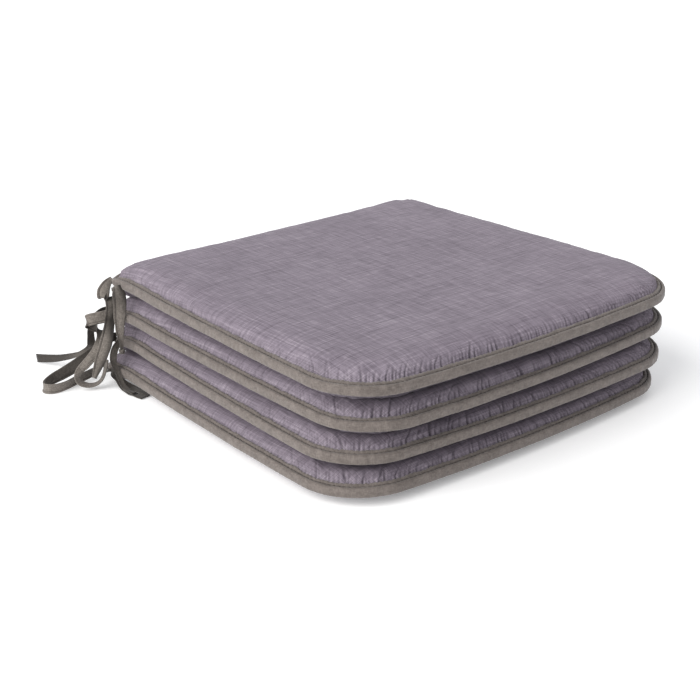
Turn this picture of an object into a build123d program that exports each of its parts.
"""Four bound seat pads with tape ties, lying on each other in one stack.

Millimetres, +Z up. The origin is on the floor, under the middle of the stack.
The ties' edge of every pad faces +Y and its round front corners face -Y.
"""

import math
import os
from collections import namedtuple

from build123d import *

# Plan shape of one pad, measured over its binding
BACK_WIDTH = 407.0
FRONT_WIDTH = 440.0
DEPTH = 400.0
SIDE_BOW = 4.2
FRONT_BOW = 12.8
BACK_CORNER_RADIUS = 16.0
FRONT_CORNER_RADIUS = 67.0

# Cloth and binding
COVER = 1.0
TAPE = 1.2
BINDING_HEIGHT = 11.0
BINDING_DEPTH = 8.0
BINDING_ROUNDING = 3.0
RIM_PLAY = 0.3
THREAD_INSET = 5.2
THREAD_WIDTH = 0.7
THREAD_HEIGHT = 0.3

# The rounded sides of the foam, as a share of half its height, and its back corners in plan
SHOULDER_SHARE = 0.7
FOAM_CORNER_RADIUS = 16.0

# Ties: flat tape, held here as a round bar of the same cross-section area
TIE_WIDTH = 10.0
TIE_THICKNESS = 1.0
TIE_RADIUS = math.sqrt(TIE_WIDTH * TIE_THICKNESS / math.pi)
TACK_WIDTH = 6.0
TACK_HEIGHT = 4.5
TACK_THICKNESS = 1.0
TACK_GAP = 1.3
KNOT_RADIUS = 3.0
KNOT_GAP = 0.2

# The stack, from the floor up: the foam in the lower pads is pressed flatter
GAP = 0.3
Pad = namedtuple("Pad", "name thickness x y turn")
PADS = [
    Pad("pad_1", 28.6, -4.8, 8.1, 0.07),
    Pad("pad_2", 29.8, 1.7, 7.5, -0.94),
    Pad("pad_3", 33.0, 2.4, 5.7, 1.0),
    Pad("pad_4", 36.0, -1.6, 2.4, 0.0),
]

# Worked out from the sizes above
RIM_HALF = BINDING_HEIGHT / 2 - TAPE - COVER
RIM_INSET = TAPE + RIM_PLAY
SEAM_HEIGHTS = {
    pad.name: sum(lower.thickness + GAP for lower in PADS[:number]) + pad.thickness / 2
    for number, pad in enumerate(PADS)
}

# Each tie's route, from the binding to its free end. The left ties come forward round the
# corner and lie in front of the stack's left side; the right ties hang down behind it.
TIES = {
    "pad_1_tie_left_a": [
        (-210.2, 199.2, 14.3), (-215.0, 195.5, 12.0), (-219.5, 188.5, 7.5), (-221.5, 177.0, 2.6),
        (-220.5, 162.0, 2.4), (-217.5, 149.0, 2.4), (-213.5, 138.0, 2.4),
    ],
    "pad_1_tie_left_b": [
        (-212.6, 189.8, 14.3), (-215.8, 185.0, 11.0), (-215.5, 177.0, 5.0), (-213.5, 164.5, 2.4),
        (-212.0, 150.5, 2.4), (-207.0, 136.0, 2.4),
    ],
    "pad_2_tie_left_a": [
        (-198.8, 205.0, 43.8), (-205.0, 205.5, 44.5), (-213.5, 204.5, 40.5), (-223.5, 206.0, 33.5),
        (-236.0, 210.5, 25.0), (-252.5, 218.0, 14.5), (-267.0, 223.5, 8.0), (-279.0, 221.0, 5.8),
        (-282.5, 212.5, 5.6), (-275.0, 205.5, 5.6), (-262.0, 206.0, 5.7), (-246.0, 212.0, 5.8),
        (-231.0, 216.0, 6.5), (-218.0, 218.5, 7.5),
    ],
    "pad_2_tie_left_b": [
        (-202.3, 190.2, 43.8), (-208.5, 188.5, 42.5), (-214.0, 187.0, 36.0), (-216.5, 185.5, 25.0),
        (-218.5, 181.0, 14.5), (-221.0, 171.0, 8.5), (-221.0, 160.0, 7.2), (-218.5, 149.0, 7.0),
    ],
    "pad_3_tie_left_a": [
        (-203.6, 196.0, 75.4), (-212.5, 198.0, 74.5), (-223.5, 201.0, 71.5), (-232.5, 204.5, 69.0),
        (-235.5, 200.5, 63.5), (-229.5, 194.5, 60.0), (-223.5, 188.5, 54.0), (-230.5, 190.0, 41.5),
        (-242.0, 194.0, 28.5), (-252.0, 198.0, 18.5), (-251.0, 196.5, 9.0), (-242.5, 192.5, 4.6),
        (-232.5, 189.0, 5.4), (-225.5, 188.0, 14.0), (-221.0, 190.0, 28.5),
    ],
    "pad_3_tie_left_b": [
        (-199.8, 201.0, 75.4), (-206.5, 204.0, 76.5), (-214.5, 206.0, 75.5), (-221.5, 209.5, 68.5),
        (-225.5, 211.0, 56.0), (-224.5, 213.5, 45.0), (-222.5, 217.0, 37.0), (-226.5, 229.0, 28.0),
        (-232.0, 248.0, 16.5), (-240.0, 271.0, 9.0), (-247.0, 291.0, 5.6),
    ],
    "pad_4_tie_left_a": [
        (-210.6, 178.6, 109.2), (-213.0, 175.5, 104.0), (-213.5, 172.5, 94.0), (-212.5, 173.5, 76.5),
        (-213.5, 173.0, 59.0), (-212.5, 173.5, 43.5),
    ],
    "pad_4_tie_left_b": [
        (-204.0, 197.8, 110.3), (-209.0, 199.0, 109.5), (-215.5, 198.5, 106.5), (-221.5, 199.5, 99.5),
        (-222.0, 196.5, 91.0), (-217.0, 190.0, 89.0), (-217.5, 182.0, 83.5), (-224.0, 176.5, 71.0),
        (-230.0, 176.5, 53.0), (-236.5, 179.5, 34.0), (-241.0, 183.0, 15.5),
    ],
    "pad_1_tie_right_a": [
        (175.0, 210.6, 14.3), (176.0, 216.5, 10.5), (178.5, 225.0, 3.4), (183.0, 239.0, 2.4),
        (184.5, 255.0, 2.4), (189.0, 271.0, 2.4),
    ],
    "pad_1_tie_right_b": [
        (166.0, 210.6, 14.3), (165.5, 216.5, 10.5), (165.0, 225.0, 3.4), (167.5, 239.0, 2.4),
        (166.5, 255.0, 2.4), (169.5, 271.0, 2.4),
    ],
    "pad_2_tie_right_a": [
        (186.0, 206.8, 43.8), (188.0, 210.8, 40.5), (190.0, 211.5, 31.5), (191.0, 211.0, 19.5),
        (195.5, 212.5, 8.0), (207.5, 214.0, 2.6), (221.0, 212.5, 2.4),
    ],
    "pad_2_tie_right_b": [
        (154.0, 207.4, 43.8), (152.0, 211.2, 40.5), (150.5, 212.0, 31.5), (149.0, 211.5, 19.5),
        (144.0, 213.0, 8.0), (132.0, 214.5, 2.6), (118.0, 213.0, 2.4),
    ],
    "pad_3_tie_right_a": [
        (184.0, 211.3, 75.4), (185.5, 216.0, 72.0), (187.0, 219.0, 62.0), (186.0, 219.5, 46.0),
        (188.0, 219.0, 29.5), (190.0, 220.5, 14.5), (197.0, 228.0, 4.4), (206.0, 238.0, 2.4),
    ],
    "pad_3_tie_right_b": [
        (173.0, 211.1, 75.4), (171.5, 216.0, 72.0), (170.0, 219.0, 62.0), (171.5, 219.5, 46.0),
        (168.5, 219.0, 29.5), (164.0, 220.5, 14.5), (155.0, 227.0, 4.4), (146.0, 237.0, 2.4),
    ],
    "pad_4_tie_right_a": [
        (185.0, 204.9, 110.3), (186.5, 213.0, 109.0), (188.0, 222.0, 102.0), (188.5, 225.0, 86.0),
        (187.5, 225.5, 66.0), (189.5, 226.0, 46.0), (188.5, 225.5, 27.0),
    ],
    "pad_4_tie_right_b": [
        (173.0, 204.9, 110.3), (172.0, 213.0, 109.0), (170.5, 222.0, 102.0), (170.5, 225.0, 86.0),
        (172.0, 225.5, 66.0), (169.5, 226.0, 46.0), (171.0, 225.5, 31.0),
    ],
}
KNOTTED_TIE = "pad_4_tie_left_a"


def pad_outline(inset):
    """The plan shape of a pad about its own centre, drawn in by inset from the binding's face."""
    back = BACK_WIDTH / 2 - inset
    front = FRONT_WIDTH / 2 - inset
    reach = DEPTH / 2 - inset
    side = (back + front) / 2 + SIDE_BOW
    if inset < BINDING_DEPTH:
        back_radius = BACK_CORNER_RADIUS - inset
    else:
        back_radius = FOAM_CORNER_RADIUS + COVER + BINDING_DEPTH - inset
    with BuildSketch() as plan:
        with BuildLine():
            Line((-back, reach), (back, reach))
            ThreePointArc((back, reach), (side, 0), (front, -reach))
            ThreePointArc((front, -reach), (0, -reach - FRONT_BOW), (-front, -reach))
            ThreePointArc((-front, -reach), (-side, 0), (-back, reach))
        make_face()
        fillet(plan.vertices().group_by(Axis.Y)[0], radius=FRONT_CORNER_RADIUS - inset)
        fillet(plan.vertices().group_by(Axis.Y)[-1], radius=back_radius)
    return plan.sketch


def pad_plane(pad, height):
    """The level plane at a height over the pad's seam, turned and placed as the pad lies."""
    level = Plane(origin=(pad.x, pad.y, SEAM_HEIGHTS[pad.name] + height))
    return level.rotated((0, 0, pad.turn))


def slab(pad, inset, low, high, mode=Mode.ADD):
    """Put a slab of the pad's plan shape into the open part, between two heights over the seam."""
    with BuildSketch(pad_plane(pad, low)) as level:
        add(pad_outline(inset))
    extrude(level.sketch, amount=high - low, mode=mode)


def make_foam_core(pad):
    """The foam: a slab with rounded sides, and a thin rim that runs into the binding."""
    half = pad.thickness / 2 - COVER
    with BuildPart() as foam_core:
        slab(pad, BINDING_DEPTH + COVER, -half, half)
        levels = foam_core.edges().group_by(Axis.Z)
        fillet(levels[0] + levels[-1], radius=SHOULDER_SHARE * half)
        slab(pad, RIM_INSET, -RIM_HALF, RIM_HALF)
    return foam_core.part


def make_cover(pad, side, core):
    """One cover cloth: side 1 is the upper one and -1 the lower one."""
    half = pad.thickness / 2
    shoulder = SHOULDER_SHARE * (half - COVER) + COVER
    with BuildPart() as cover:
        slab(pad, BINDING_DEPTH, min(0, side * half), max(0, side * half))
        outer = cover.edges().group_by(Axis.Z)[-1 if side > 0 else 0]
        fillet(outer, radius=shoulder)
        flange = sorted((side * RIM_HALF, side * (RIM_HALF + COVER)))
        slab(pad, RIM_INSET, *flange)
        add(core, mode=Mode.SUBTRACT)
        slab(pad, 0, min(0, side * RIM_HALF), max(0, side * RIM_HALF), mode=Mode.SUBTRACT)
    return cover.part


def make_binding(pad):
    """The tape folded over the pad's edge: a channel with its mouth to the inside."""
    half = BINDING_HEIGHT / 2
    mouth = half - TAPE
    with BuildPart() as binding:
        slab(pad, 0, -half, half)
        levels = binding.edges().group_by(Axis.Z)
        fillet(levels[0] + levels[-1], radius=BINDING_ROUNDING)
        slab(pad, TAPE, -mouth, mouth, mode=Mode.SUBTRACT)
        slab(pad, BINDING_DEPTH, -half, half, mode=Mode.SUBTRACT)
    return binding.part


def make_seam_thread(pad):
    """The two lines of sewing thread, on the upper and the lower face of the binding."""
    face = BINDING_HEIGHT / 2
    with BuildPart() as thread:
        for low in (face, -face - THREAD_HEIGHT):
            slab(pad, THREAD_INSET, low, low + THREAD_HEIGHT)
            inner = THREAD_INSET + THREAD_WIDTH
            slab(pad, inner, low, low + THREAD_HEIGHT, mode=Mode.SUBTRACT)
    return thread.part


def make_bar_tacks(pad):
    """The stitched patches that hold the ties' roots to the binding."""
    with BuildPart() as tacks:
        for name, route in TIES.items():
            if name.startswith(pad.name):
                root = Vector(*route[0])
                outward = Vector(route[1][0] - root.X, route[1][1] - root.Y, 0).normalized()
                seat = root - outward * (TACK_THICKNESS / 2 + TACK_GAP)
                across = Vector(-outward.Y, outward.X, 0)
                with BuildSketch(Plane(origin=seat, x_dir=across, z_dir=outward)):
                    Rectangle(TACK_WIDTH, TACK_HEIGHT)
                extrude(amount=TACK_THICKNESS / 2, both=True)
        slab(pad, 0, -BINDING_HEIGHT / 2, BINDING_HEIGHT / 2, mode=Mode.SUBTRACT)
    return tacks.part


def make_tie(name, route):
    """A tie's stand-in: a round bar along straight runs joined by tangent arcs."""
    radii = []
    for before, here, after in zip(route, route[1:], route[2:]):
        run_in = Vector(*here) - Vector(*before)
        run_out = Vector(*after) - Vector(*here)
        half_turn = math.radians(run_in.get_angle(run_out) / 2)
        radii.append(0.45 * min(run_in.length, run_out.length) / math.tan(half_turn))
    with BuildPart() as tie:
        with BuildLine() as path:
            FilletPolyline(*route, radius=radii)
        line = path.wire()
        with BuildSketch(Plane(origin=line @ 0, z_dir=line % 0)):
            Circle(TIE_RADIUS)
        sweep(path=line)
    wanted = math.pi * TIE_RADIUS**2 * line.length
    print(f"{name}: {line.length:.0f} mm, volume {tie.part.volume / wanted:.3f} of section x length,",
          "radii", " ".join(f"{radius:.0f}" for radius in radii))
    return tie.part


def make_tie_knot():
    """The rolled knot at the end of the tie that hangs in front of the stack."""
    last = Vector(*TIES[KNOTTED_TIE][-1])
    run = last - Vector(*TIES[KNOTTED_TIE][-2])
    centre = last + run.normalized() * (KNOT_RADIUS + KNOT_GAP)
    with BuildPart(Plane(origin=centre)) as knot:
        Sphere(KNOT_RADIUS)
    return knot.part


def save(piece, name):
    """Label one finished piece and write its STEP file."""
    piece.label = name
    export_step(piece, f"parts/{name}.step")


os.makedirs("parts", exist_ok=True)

for pad in PADS:
    core = make_foam_core(pad)
    save(core, f"{pad.name}_foam_core")
    save(make_cover(pad, 1, core), f"{pad.name}_top_cover")
    save(make_cover(pad, -1, core), f"{pad.name}_bottom_cover")
    save(make_binding(pad), f"{pad.name}_edge_binding")
    save(make_seam_thread(pad), f"{pad.name}_seam_thread")
    save(make_bar_tacks(pad), f"{pad.name}_bar_tacks")

for name, route in TIES.items():
    save(make_tie(name, route), name)

save(make_tie_knot(), f"{KNOTTED_TIE}_knot")
